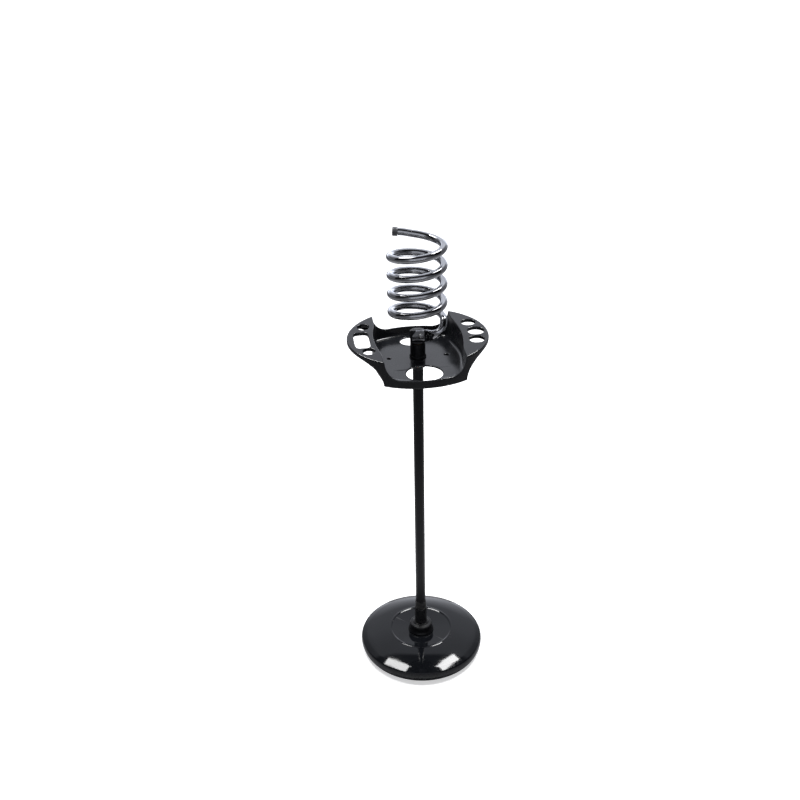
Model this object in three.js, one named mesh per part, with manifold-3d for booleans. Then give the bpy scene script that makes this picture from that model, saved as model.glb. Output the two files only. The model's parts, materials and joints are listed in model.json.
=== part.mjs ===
// Floor stand for a hair dryer: weighted round base, one post, a swivelling tool tray and a
// chrome spiral holder that turns on top of the hub. Millimetres, +Z up, the origin on the floor
// under the post's axis, the tray's front towards -Y.
import * as THREE from "three";
import { mergeVertices } from "three/addons/utils/BufferGeometryUtils.js";
import Module from "manifold-3d";

const wasm = await Module();
wasm.setup();

// ---- driving dimensions ----
const POST_R = 11;
const BASE_R = 140;
const BASE_TOP = 41.2;
const PLATE_Z = 3;
const WEIGHT_R = 110;
const FOOT_R = 10;
const FOOT_COUNT = 5;
const SCREW_RING = 120;
const TRAY_Z = 739;
const TRAY_A = 143;
const TRAY_B = 117;
const WALL = 3;
const FLOOR_T = 3.5;
const WING_T = 7;
const WING_H = 46;
const WING_SLOPE = 0.11;
const HUB_R = 15.3;
const HUB_TOP = 770;
const TAB_Z = 786.6;
const SPIRAL_TURN = -9.1;
const COIL_R = 52;
const COIL_PITCH = 37.7;
const COIL_TURNS = 4;
const COIL_START_Z = 969.9;
const TUBE_R = 7.5;
const TUBE_BORE = 6.1;
const SIDES = 10;

// ---- materials ----
const gloss = new THREE.MeshStandardMaterial({ color: 0x0b0b0d, roughness: 0.12, metalness: 0 });
const satin = new THREE.MeshStandardMaterial({ color: 0x141416, roughness: 0.38, metalness: 0 });
const tubePaint = new THREE.MeshStandardMaterial({ color: 0x101012, roughness: 0.3, metalness: 0.1 });
const chrome = new THREE.MeshStandardMaterial({ color: 0xd6d8dc, roughness: 0.06, metalness: 1 });
const steel = new THREE.MeshStandardMaterial({ color: 0x8d9096, roughness: 0.35, metalness: 1 });
const iron = new THREE.MeshStandardMaterial({ color: 0x303134, roughness: 0.8, metalness: 0.6 });
const brass = new THREE.MeshStandardMaterial({ color: 0xb08d4a, roughness: 0.35, metalness: 1 });
const rubber = new THREE.MeshStandardMaterial({ color: 0x171717, roughness: 0.85, metalness: 0 });
const nylon = new THREE.MeshStandardMaterial({ color: 0xd9d7cf, roughness: 0.5, metalness: 0 });

const stand = new THREE.Group();

function place(name, geometry, material) {
  const mesh = new THREE.Mesh(geometry, material);
  mesh.name = name;
  stand.add(mesh);
  return mesh;
}

// ---- geometry helpers ----
// A closed turned body about +Z from [radius, height] pairs.
function turned(profile, segments = 32) {
  const points = profile.map(([r, z]) => new THREE.Vector2(r, z));
  if (profile[0][0] > 0) points.push(points[0].clone());
  const geometry = new THREE.LatheGeometry(points, segments);
  geometry.rotateX(Math.PI / 2);
  return facingOut(geometry);
}

function facingOut(geometry) {
  geometry.deleteAttribute("normal");
  geometry.deleteAttribute("uv");
  const merged = mergeVertices(geometry, 1e-4);
  const index = Array.from(merged.index.array);
  const pos = merged.attributes.position;
  const kept = [];
  let volume = 0;
  const a = new THREE.Vector3();
  const b = new THREE.Vector3();
  const c = new THREE.Vector3();
  for (let i = 0; i < index.length; i += 3) {
    const [p, q, r] = [index[i], index[i + 1], index[i + 2]];
    if (p === q || q === r || p === r) continue;
    kept.push(p, q, r);
    a.fromBufferAttribute(pos, p);
    b.fromBufferAttribute(pos, q);
    c.fromBufferAttribute(pos, r);
    volume += a.dot(b.cross(c));
  }
  if (volume < 0) {
    for (let i = 0; i < kept.length; i += 3) [kept[i], kept[i + 1]] = [kept[i + 1], kept[i]];
  }
  merged.setIndex(kept);
  return merged;
}

// A closed body through rings of points, all with the same count, capped at both ends.
function lofted(rings) {
  const n = rings[0].length;
  const verts = rings.flat();
  const index = [];
  for (let i = 0; i + 1 < rings.length; i++) {
    for (let j = 0; j < n; j++) {
      const k = (j + 1) % n;
      const [p, q, r, s] = [i * n + j, i * n + k, (i + 1) * n + k, (i + 1) * n + j];
      index.push(p, q, r, p, r, s);
    }
  }
  for (const [start, flip] of [[0, true], [(rings.length - 1) * n, false]]) {
    const ring = verts.slice(start, start + n);
    const centre = ring.reduce((sum, v) => sum.add(v), new THREE.Vector3()).divideScalar(n);
    verts.push(centre);
    for (let j = 0; j < n; j++) {
      const [p, q] = [start + j, start + ((j + 1) % n)];
      index.push(...(flip ? [q, p, verts.length - 1] : [p, q, verts.length - 1]));
    }
  }
  return meshOf(verts, index);
}

function meshOf(verts, index) {
  const geometry = new THREE.BufferGeometry();
  const flat = verts.flatMap((v) => [v.x, v.y, v.z]);
  geometry.setAttribute("position", new THREE.Float32BufferAttribute(flat, 3));
  geometry.setIndex(index);
  return facingOut(geometry);
}

// An upright prism over a plan outline of [x, y] pairs.
function prism(outline, z0, z1) {
  const shape = new THREE.Shape(outline.map(([x, y]) => new THREE.Vector2(x, y)));
  const geometry = new THREE.ExtrudeGeometry(shape, { depth: z1 - z0, bevelEnabled: false });
  geometry.translate(0, 0, z0);
  return facingOut(geometry);
}

function oval(cx, cy, rx, ry, count = 16, power = 1) {
  const points = [];
  for (let i = 0; i < count; i++) {
    const t = (2 * Math.PI * i) / count;
    const [c, s] = [Math.cos(t), Math.sin(t)];
    points.push([
      cx + rx * Math.sign(c) * Math.abs(c) ** power,
      cy + ry * Math.sign(s) * Math.abs(s) ** power,
    ]);
  }
  return points;
}

function solid(geometry) {
  return new wasm.Manifold(new wasm.Mesh({
    numProp: 3,
    vertProperties: new Float32Array(geometry.attributes.position.array),
    triVerts: new Uint32Array(geometry.index.array),
  }));
}

function unsolid(body) {
  const mesh = body.getMesh();
  const geometry = new THREE.BufferGeometry();
  geometry.setAttribute("position", new THREE.BufferAttribute(new Float32Array(mesh.vertProperties), 3));
  geometry.setIndex(Array.from(mesh.triVerts));
  return facingOut(geometry);
}

function cut(geometry, ...tools) {
  return unsolid(tools.reduce((body, tool) => body.subtract(solid(tool)), solid(geometry)));
}

// A rod between two heights, or laid along a level direction at a height.
function rod(r, z0, z1, segments = 24) {
  return turned([[0, z0], [r, z0], [r, z1], [0, z1]], segments);
}

function laid(geometry, angle, x, y, z) {
  geometry.rotateY(Math.PI / 2);
  geometry.rotateZ(angle);
  geometry.translate(x, y, z);
  return geometry;
}

// ---- base ----
function baseCover() {
  const outer = [
    [133.6, PLATE_Z], [137.4, 8.5], [139.4, 15], [BASE_R, 21.5], [139.4, 26.4], [137.6, 29],
    [126.5, 33.4], [115.5, 37.1], [104.5, 40.4], [93.5, 43.1], [82.5, 45.2], [73.6, 46.5],
    [71.8, 47.3], [69.8, 47], [67.4, 45.7], [48, 43.4], [28, 41.3], [6.6, BASE_TOP],
  ];
  const inner = [
    [6.6, 38.2], [28, 38.3], [68, 42.8], [74, 43.2], [93.5, 39.9], [115.5, 33.9], [134, 26.6],
    [136.6, 21.5], [134.2, 10], [130.4, PLATE_Z],
  ];
  let cover = solid(turned([...outer, ...inner], 44));
  for (let i = 0; i < 4; i++) {
    const t = Math.PI / 4 + (i * Math.PI) / 2;
    const boss = rod(4.5, 5.4, 33.8, 12);
    boss.translate(SCREW_RING * Math.cos(t), SCREW_RING * Math.sin(t), 0);
    const bore = rod(2.2, 4, 24, 10);
    bore.translate(SCREW_RING * Math.cos(t), SCREW_RING * Math.sin(t), 0);
    cover = cover.add(solid(boss)).subtract(solid(bore));
  }
  return unsolid(cover);
}

place("base_cover", baseCover(), gloss);
place("base_weight", turned([
  [5.4, 13.6], [13.5, 13.6], [13.5, 5.4], [WEIGHT_R - 2, 5.4], [WEIGHT_R, 7.4], [WEIGHT_R, 16.5],
  [WEIGHT_R - 2, 18.3], [5.4, 18.3],
], 32), iron);

function basePlate() {
  const holes = [];
  for (let i = 0; i < 4; i++) {
    const t = Math.PI / 4 + (i * Math.PI) / 2;
    const hole = rod(2.4, 0, 10, 10);
    hole.translate(SCREW_RING * Math.cos(t), SCREW_RING * Math.sin(t), 0);
    holes.push(hole);
  }
  return cut(turned([[13.5, PLATE_Z], [127.8, PLATE_Z], [127.8, 5.1], [13.5, 5.1]], 36), ...holes);
}

place("base_plate", basePlate(), steel);

for (let i = 0; i < FOOT_COUNT; i++) {
  const t = Math.PI / 2 + (2 * Math.PI * i) / FOOT_COUNT;
  const foot = turned([[0, 0], [FOOT_R - 1.4, 0], [FOOT_R, 1], [FOOT_R, 2.7], [0, 2.7]], 16);
  foot.translate(98 * Math.cos(t), 98 * Math.sin(t), 0);
  place(`rubber_foot_${i + 1}`, foot, rubber);
}

for (let i = 0; i < 4; i++) {
  const t = Math.PI / 4 + (i * Math.PI) / 2;
  const screw = turned([[0, 1], [3, 1], [4, 1.7], [4, 2.7], [2, 2.7], [2, 18], [0, 18]], 12);
  screw.translate(SCREW_RING * Math.cos(t), SCREW_RING * Math.sin(t), 0);
  place(`plate_screw_${i + 1}`, screw, steel);
}

// ---- tie bolt through the base into the post ----
function tieBolt() {
  const head = prism(oval(0, 0, 9.8, 9.8, 6), 5.6, 11.6);
  return unsolid(solid(head).add(solid(rod(5, 11, 92, 16))));
}

place("tie_bolt", tieBolt(), steel);
place("tie_washer", turned([[5.3, 11.9], [11, 11.9], [11, 13.3], [5.3, 13.3]], 20), steel);
place("base_spacer", turned([[5.5, 18.6], [10, 18.6], [10, 37.9], [5.5, 37.9]], 20), steel);
place("base_flange", turned([
  [5.5, 41.5], [28.2, 41.5], [28.9, 42.4], [28.7, 44.4], [27.3, 46.2], [26.3, 49], [25.8, 53],
  [25.5, 59.4], [24.2, 61.6], [18, 62.8], [16.4, 65.4], [11.3, 65.4], [11.3, 49.9], [5.5, 49.9],
], 28), satin);

function postCollar() {
  const body = turned([
    [11.25, 65.7], [13.5, 65.7], [14, 66.4], [14, 104.2], [13.4, 105], [11.25, 105],
  ], 28);
  return cut(body, laid(rod(2.6, 0, 30, 12), Math.PI / 2, 0, 0, 86));
}

place("post_collar", postCollar(), satin);
place("collar_screw", laid(turned([
  [0, 11.3], [2.3, 11.3], [2.3, 13.6], [1.1, 13.6], [1.1, 12.4], [0, 12.4],
], 12), Math.PI / 2, 0, 0, 86), steel);
place("post_ferrule", turned([
  [11.2, 105.3], [12, 105.3], [12, 123.4], [11.6, 124], [11.2, 124],
], 28), rubber);
place("post_tube", turned([
  [9.5, 50.3], [POST_R, 50.3], [POST_R, 712], [9.5, 712],
], 28), tubePaint);
place("post_plug", turned([
  [5.1, 58], [9.3, 58], [9.3, 94], [5.1, 94],
], 24), steel);

// ---- post head, tray bearing and hub ----
place("post_head", turned([
  [0, 690], [8.6, 690], [9.3, 691], [9.3, 712.3], [POST_R, 712.3], [POST_R, 719.4], [18, 720.6],
  [18, 722.4], [8, 722.4], [8, 752.4], [7.4, 753], [0, 753],
], 32), steel);
place("tray_washer", turned([[8.2, 722.7], [17.6, 722.7], [17.6, 724], [8.2, 724]], 32), nylon);

function hub() {
  const body = turned([
    [8.15, TRAY_Z + 0.4], [17, TRAY_Z + 0.4], [17, TRAY_Z + 3.6], [16.2, TRAY_Z + 4.6], [HUB_R, TRAY_Z + 5.2],
    [HUB_R, HUB_TOP - 1], [HUB_R - 1, HUB_TOP], [8.7, HUB_TOP], [8.7, 754.6], [8.15, 754.6],
  ], 32);
  return cut(body, laid(rod(2.6, 0, 30, 12), Math.PI / 2, 0, 0, 748));
}

place("hub", hub(), satin);
place("hub_screw", laid(turned([
  [0, 8.4], [2.3, 8.4], [2.3, 14.6], [1.1, 14.6], [1.1, 13], [0, 13],
], 12), Math.PI / 2, 0, 0, 748), steel);
place("spindle_bush", turned([
  [6.1, 755], [8.4, 755], [8.4, HUB_TOP + 0.3], [13, HUB_TOP + 0.3], [13, HUB_TOP + 1.2], [6.1, HUB_TOP + 1.2],
], 32), brass);

// ---- tray ----
// Half width of the basin between its side walls.
function basinHalf(y) {
  const s = Math.min(1, Math.abs(y) / 85);
  return 79 + 10 * (1 - s * s) ** 2;
}

function basinVoid(z0, z1, fillet) {
  const rings = [];
  for (let y = -126; y <= 126; y += 18) {
    const w = basinHalf(y);
    const half = fillet
      ? [[w, z1], [w, z0 + fillet], [w - 0.3 * fillet, z0 + 0.3 * fillet], [w - fillet, z0]]
      : [[w, z1], [w, z0]];
    const ring = [...half, ...half.map(([x, z]) => [-x, z]).reverse()];
    rings.push(ring.map(([x, z]) => new THREE.Vector3(x, y, z)));
  }
  return lofted(rings);
}

// The space under one wing: the wall sweeps from the skirt out to the wing's thin edge.
function underWing(side) {
  const rings = [];
  for (let y = -126; y <= 126; y += 18) {
    const x0 = basinHalf(y) + WALL;
    const top = WING_H + WING_SLOPE * y - WING_T;
    const ring = [];
    for (let k = 0; k <= 5; k++) {
      const t = (k / 5) * (Math.PI / 2);
      ring.push([x0 + 50 * (1 - Math.cos(t)), -17 + (top + 17) * Math.sin(t)]);
    }
    ring.push([165, top], [165, -40], [x0, -40]);
    rings.push(ring.map(([x, z]) => new THREE.Vector3(side * x, y, z)));
  }
  return lofted(rings);
}

// The hollow under one wing, inside the skin that follows the tray's outline.
function wingHollow(side) {
  const rings = [];
  for (let y = -126; y <= 126; y += 18) {
    const x0 = basinHalf(y) + WALL;
    const top = WING_H + WING_SLOPE * y - WING_T;
    const ring = [[x0, -40], [x0, top], [165, top], [165, -40]];
    rings.push(ring.map(([x, z]) => new THREE.Vector3(side * x, y, z)));
  }
  return lofted(rings);
}

// A cutter above a rim line, for the front or the rear of the basin.
function rimCutter(line, y0, y1) {
  const half = [...line, [line.at(-1)[0], 90]];
  const ring = [...half, ...half.map(([x, z]) => [-x, z]).reverse()];
  return lofted([y0, y1].map((y) => ring.map(([x, z]) => new THREE.Vector3(x, y, z))));
}

// A slab above or below a plane that slopes along y.
function slopedSlab(zAtZero, slope, far) {
  const rings = [-140, 140].map((y) => {
    const z = zAtZero + slope * y;
    return [[-160, z], [160, z], [160, far], [-160, far]].map(([x, h]) => new THREE.Vector3(x, y, h));
  });
  return lofted(rings);
}

function tray() {
  const inner = solid(prism(oval(0, 0, TRAY_A - WALL, TRAY_B - WALL, 56), -60, 120));
  const wing = [
    [oval(-104, 52, 12.5, 12.5)], [oval(-104, -48, 12.5, 12.5)], [oval(-113, -2, 15.5, 31.5, 20, 0.6)],
    [oval(111, 40, 15, 12.5)], [oval(119, 3, 17, 15.5)], [oval(114, -31, 15.5, 14)],
  ].map(([outline]) => solid(prism(outline, -40, 90)));
  const floor = [
    solid(prism(oval(0, -80.5, 36, 36, 28), -40, 60)).intersect(inner),
    solid(prism(oval(0, 82, 24.5, 23, 24), -40, 60)),
    solid(prism(oval(-59, 0, 4.4, 4.4, 12), -40, 60)),
    solid(prism(oval(59, 0, 4.4, 4.4, 12), -40, 60)),
  ];
  let body = solid(prism(oval(0, 0, TRAY_A, TRAY_B, 56), -30, 75));
  body = body.subtract(solid(slopedSlab(WING_H, WING_SLOPE, 120)));
  body = body.subtract(solid(slopedSlab(-10.5, 0.0558, -60)));
  for (const side of [1, -1]) {
    body = body.subtract(solid(underWing(side))).subtract(solid(wingHollow(side)).intersect(inner));
  }
  body = body.subtract(solid(basinVoid(0, 90, 6)).intersect(inner));
  body = body.subtract(solid(basinVoid(-60, -FLOOR_T, 0)).intersect(inner));
  const front = [[58, 0], [61, 2], [69, 9], [75, 18], [78.5, 25], [80, 35]];
  const rear = [[36, 20], [50, 21.5], [58, 23], [66, 28], [72, 35], [75, 42], [79, 57]];
  body = body.subtract(solid(rimCutter(front, -140, -60)));
  body = body.subtract(solid(rimCutter(rear, 60, 140)));
  body = body.add(solid(rod(19, -14.6, -2, 24)));
  for (const side of [1, -1]) body = body.add(solid(prism(oval(side * 59, 0, 8, 8, 18), -9.5, -2)));
  for (const tool of [...wing, ...floor, solid(rod(8.1, -40, 20, 32))]) body = body.subtract(tool);
  const parts = body.decompose().sort((p, q) => q.volume() - p.volume());
  const geometry = unsolid(parts[0]);
  geometry.translate(0, 0, TRAY_Z);
  return geometry;
}

place("tray", tray(), satin);

// ---- spiral holder, built facing the front and then turned to its rest angle ----
const spiralTurn = THREE.MathUtils.degToRad(SPIRAL_TURN);

function swivelHead() {
  const body = turned([
    [0, 755.6], [5.4, 755.6], [6.04, 756.4], [6.04, HUB_TOP + 1.6], [14.3, HUB_TOP + 1.6], [HUB_R, HUB_TOP + 2.4],
    [HUB_R, TAB_Z + 7.5], [13.8, TAB_Z + 9.5], [0, TAB_Z + 9.5],
  ], 32);
  const flat = prism([[-30, -30], [30, -30], [30, -2.6], [-30, -2.6]], HUB_TOP + 4, 820);
  const bore = laid(rod(2.6, -20, 6, 12), Math.PI / 2, 6, 0, TAB_Z + 0.5);
  return cut(body, flat, bore);
}

// Centre line of the tube, from its top end down round the coil to the flattened lower end.
function spiralPath() {
  const points = [[-37, 984.7], [-30, 984.2], [-20, 982.6], [-10, 980.5]]
    .map(([x, z]) => new THREE.Vector3(x, COIL_R, z));
  for (const [deg, z] of [[87, 978.2], [66, 974.8], [44, 972], [22, 970.4]]) {
    const t = THREE.MathUtils.degToRad(deg);
    points.push(new THREE.Vector3(COIL_R * Math.cos(t), COIL_R * Math.sin(t), z));
  }
  const steps = COIL_TURNS * 14;
  for (let i = 0; i <= steps; i++) {
    const t = (-2 * Math.PI * COIL_TURNS * i) / steps;
    const z = COIL_START_Z - (COIL_PITCH * COIL_TURNS * i) / steps;
    points.push(new THREE.Vector3(COIL_R * Math.cos(t), COIL_R * Math.sin(t), z));
  }
  const tail = [
    [51, -9.5, 811.6], [47.2, -16, 803.8], [41, -19, 798.2], [33.5, -18.2, 794], [27, -15.2, 791.2],
    [20.5, -9.4, 788.6], [14, -5.9, 787.4], [7, -5.2, 786.7], [0, -5.2, TAB_Z], [-10.4, -5.2, TAB_Z],
  ];
  return points.concat(tail.map(([x, y, z]) => new THREE.Vector3(x, y, z)));
}

function ringAt(centre, tangent, across, along, count) {
  const side = new THREE.Vector3().crossVectors(tangent, new THREE.Vector3(0, 0, 1)).normalize();
  const up = new THREE.Vector3().crossVectors(side, tangent).normalize();
  const ring = [];
  for (let j = 0; j < count; j++) {
    const t = (2 * Math.PI * (j + 0.5)) / count;
    ring.push(centre.clone().addScaledVector(side, across * Math.cos(t)).addScaledVector(up, along * Math.sin(t)));
  }
  return ring;
}

function spiralCoil() {
  const path = spiralPath();
  const count = path.length;
  const flattenFrom = count - 9;
  const outer = [];
  const inner = [];
  for (let i = 0; i < count; i++) {
    const tangent = path[Math.min(i + 1, count - 1)].clone().sub(path[Math.max(i - 1, 0)]).normalize();
    const f = THREE.MathUtils.smoothstep(i, flattenFrom, count - 4);
    outer.push(ringAt(path[i], tangent, TUBE_R + (2.1 - TUBE_R) * f, TUBE_R + (12.2 - TUBE_R) * f, SIDES));
    if (i <= flattenFrom) inner.push(ringAt(path[i], tangent, TUBE_BORE, TUBE_BORE, SIDES));
  }
  const verts = [...outer.flat(), ...inner.flat()];
  const index = [];
  const sheet = (start, rings, flip) => {
    for (let i = 0; i + 1 < rings; i++) {
      for (let j = 0; j < SIDES; j++) {
        const k = (j + 1) % SIDES;
        const [p, q, r, s] = [start + i * SIDES + j, start + i * SIDES + k, start + (i + 1) * SIDES + k, start + (i + 1) * SIDES + j];
        index.push(...(flip ? [p, r, q, p, s, r] : [p, q, r, p, r, s]));
      }
    }
  };
  const closed = (start, flip) => {
    const ring = verts.slice(start, start + SIDES);
    verts.push(ring.reduce((sum, v) => sum.add(v), new THREE.Vector3()).divideScalar(SIDES));
    for (let j = 0; j < SIDES; j++) {
      const [p, q] = [start + j, start + ((j + 1) % SIDES)];
      index.push(...(flip ? [q, p, verts.length - 1] : [p, q, verts.length - 1]));
    }
  };
  const innerStart = outer.length * SIDES;
  sheet(0, outer.length, false);
  sheet(innerStart, inner.length, true);
  closed((outer.length - 1) * SIDES, false);
  closed(innerStart + (inner.length - 1) * SIDES, true);
  for (let j = 0; j < SIDES; j++) {
    const k = (j + 1) % SIDES;
    index.push(k, j, innerStart + j, k, innerStart + j, innerStart + k);
  }
  const corner = lofted([-12, 4].map((y) => [
    [-14, TAB_Z + 10], [-10.6, TAB_Z - 0.4], [-2, TAB_Z + 13], [-14, TAB_Z + 16],
  ].map(([x, z]) => new THREE.Vector3(x, y, z))));
  const bore = laid(rod(2.6, -20, 6, 12), Math.PI / 2, 6, 0, TAB_Z + 0.5);
  return cut(meshOf(verts, index), corner, bore);
}

function endCap() {
  const path = spiralPath();
  const tangent = path[0].clone().sub(path[1]).normalize();
  const cap = turned([[0, -9], [4.6, -9], [5.3, -8], [5.3, 0.3], [8.6, 0.3], [9, 1.2], [9, 9], [8, 10.6], [0, 11]], 16);
  cap.applyQuaternion(new THREE.Quaternion().setFromUnitVectors(new THREE.Vector3(0, 0, 1), tangent));
  cap.translate(path[0].x, path[0].y, path[0].z);
  return cap;
}

function tabScrew() {
  const screw = turned([[0, -11.2], [3.4, -11.2], [5, -9.9], [5, -8.1], [2.3, -8.1], [2.3, 5.4], [0, 5.4]], 16);
  return laid(screw, Math.PI / 2, 6, 0, TAB_Z + 0.5);
}

const spiralPieces = [
  ["swivel_head", swivelHead(), satin], ["spiral_coil", spiralCoil(), chrome],
  ["coil_end_cap", endCap(), satin], ["tab_screw", tabScrew(), steel],
];
for (const [name, geometry, material] of spiralPieces) {
  geometry.rotateZ(spiralTurn);
  place(name, geometry, material);
}

export default stand;
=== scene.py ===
import json
import math

import bpy
import numpy as np
from mathutils import Matrix, Vector

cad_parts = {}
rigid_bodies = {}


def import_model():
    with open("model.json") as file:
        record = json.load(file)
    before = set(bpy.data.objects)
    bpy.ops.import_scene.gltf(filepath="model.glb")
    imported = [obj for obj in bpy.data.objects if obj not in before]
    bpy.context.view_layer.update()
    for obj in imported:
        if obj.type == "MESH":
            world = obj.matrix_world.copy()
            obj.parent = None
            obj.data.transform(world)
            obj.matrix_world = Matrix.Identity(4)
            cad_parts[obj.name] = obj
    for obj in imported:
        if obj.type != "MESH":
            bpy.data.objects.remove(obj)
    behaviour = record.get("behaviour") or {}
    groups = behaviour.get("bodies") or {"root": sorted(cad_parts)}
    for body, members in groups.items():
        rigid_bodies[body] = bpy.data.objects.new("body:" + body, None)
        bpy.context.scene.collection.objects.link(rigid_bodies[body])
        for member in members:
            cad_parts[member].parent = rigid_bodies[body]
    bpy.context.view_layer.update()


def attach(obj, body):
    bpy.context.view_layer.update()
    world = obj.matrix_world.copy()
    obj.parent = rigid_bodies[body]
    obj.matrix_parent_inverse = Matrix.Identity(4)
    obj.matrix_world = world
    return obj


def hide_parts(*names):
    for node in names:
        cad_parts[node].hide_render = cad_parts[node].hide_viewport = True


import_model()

MM = 0.001

# Heights and radii of the frame, in millimetres.
TRAY_Z = 739.0
HUB_TOP = 770.0
TAB_Z = 786.6
SPIRAL_TURN = math.radians(-9.1)
COIL_R, COIL_PITCH, COIL_TURNS, COIL_START = 52.0, 37.7, 4, 969.9
TUBE_R, TUBE_BORE_R = 7.5, 6.2
FLAT_HALF_WIDTH, FLAT_HALF_HEIGHT = 2.1, 12.0
POST_R, HUB_R = 11.0, 15.3
BOLT_R, BOLT_FLATS = 5.0, 8.5
TRAY_STEP = 1.25
PLATE_SCREW_RING, FOOT_RING = 120.0, 98.0

# The level direction away from the camera, and the one to the camera's right.
REAR = (0.158, 0.987, 0.0)
ASIDE = (REAR[1], -REAR[0], 0.0)
# Brightness of the surroundings from the level line behind (0), over the top (0.5), to the front (1).
WALL_SWEEP = (
    (0.0, 2.4), (0.05, 1.4), (0.12, 0.8), (0.22, 1.08), (0.355, 1.08), (0.375, 0.12), (0.54, 0.1),
    (0.57, 0.01), (0.74, 0.01), (0.78, 0.5), (0.92, 0.6), (1.0, 0.5),
)
# How it falls off from the middle (0) to the sides (1).
SIDE_FALL = ((0.0, 1.0), (0.42, 1.0), (0.56, 0.38), (0.8, 0.17), (1.0, 0.14))
BOX_LEFT, BOX_RIGHT = (-0.65, 0.53, 2.3), (0.88, 0.41, 2.3)
BOX_SIZE, PANEL_SIZE = (0.84, 0.4), (0.9, 0.5)


# ---------------------------------------------------------------- meshes
def new_object(name, verts, faces, body, material, nodes, smooth=40.0):
    mesh = bpy.data.meshes.new(name)
    mesh.from_pydata([tuple(v) for v in np.asarray(verts, float) * MM], [], faces)
    mesh.validate()
    mesh.shade_smooth()
    if smooth:
        mesh.set_sharp_from_angle(angle=math.radians(smooth))
    obj = bpy.data.objects.new(name, mesh)
    bpy.context.scene.collection.objects.link(obj)
    obj.data.materials.append(material)
    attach(obj, body)
    if nodes:
        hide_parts(*nodes)
    return obj


def fillet(corners, closed=True, steps=4):
    """Rounds (r, z, radius) corners of a profile with short arcs."""
    out = []
    n = len(corners)
    for i, (x, y, rad) in enumerate(corners):
        here = np.array([x, y], float)
        if rad <= 0 or (not closed and i in (0, n - 1)):
            out.append(here)
            continue
        a = np.array(corners[i - 1][:2], float) - here
        b = np.array(corners[(i + 1) % n][:2], float) - here
        la, lb = np.linalg.norm(a), np.linalg.norm(b)
        a, b = a / la, b / lb
        half = math.acos(np.clip(a @ b, -1, 1)) / 2
        if half > math.radians(88.5):
            out.append(here)
            continue
        reach = min(rad / math.tan(half), 0.48 * la, 0.48 * lb)
        radius = reach * math.tan(half)
        centre = here + (a + b) / np.linalg.norm(a + b) * radius / math.sin(half)
        p, q = here + a * reach - centre, here + b * reach - centre
        sweep = math.atan2(p[0] * q[1] - p[1] * q[0], p @ q)
        for k in range(steps + 1):
            t = sweep * k / steps
            c, s = math.cos(t), math.sin(t)
            out.append(centre + np.array([c * p[0] - s * p[1], s * p[0] + c * p[1]]))
    return out


def lathe_mesh(corners, segments=96, steps=4):
    """A closed turned body about +Z. Corners are (radius, height, fillet)."""
    profile = fillet(corners, steps=steps)
    verts, rings, faces = [], [], []
    for r, z in profile:
        if r < 1e-6:
            rings.append([len(verts)])
            verts.append((0.0, 0.0, z))
            continue
        rings.append(list(range(len(verts), len(verts) + segments)))
        for j in range(segments):
            t = 2 * math.pi * j / segments
            verts.append((r * math.cos(t), r * math.sin(t), z))
    for i, ring in enumerate(rings):
        other = rings[(i + 1) % len(rings)]
        if len(ring) == 1 and len(other) == 1:
            continue
        for j in range(segments):
            k = (j + 1) % segments
            if len(ring) == 1:
                faces.append((ring[0], other[k], other[j]))
            elif len(other) == 1:
                faces.append((ring[j], ring[k], other[0]))
            else:
                faces.append((ring[j], ring[k], other[k], other[j]))
    verts = np.array(verts)
    if signed_volume(verts, faces) < 0:
        faces = [f[::-1] for f in faces]
    return verts, faces


def signed_volume(verts, faces):
    total = 0.0
    for f in faces:
        a = verts[f[0]]
        for i in range(1, len(f) - 1):
            total += float(a @ np.cross(verts[f[i]], verts[f[i + 1]]))
    return total


def turned(name, corners, body, material, nodes, segments=96, move=None, smooth=40.0, steps=4):
    verts, faces = lathe_mesh(corners, segments, steps)
    if move is not None:
        rot, shift = move
        verts = verts @ np.array(rot.to_3x3()).T + np.array(shift)
    return new_object(name, verts, faces, body, material, nodes, smooth)


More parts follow.
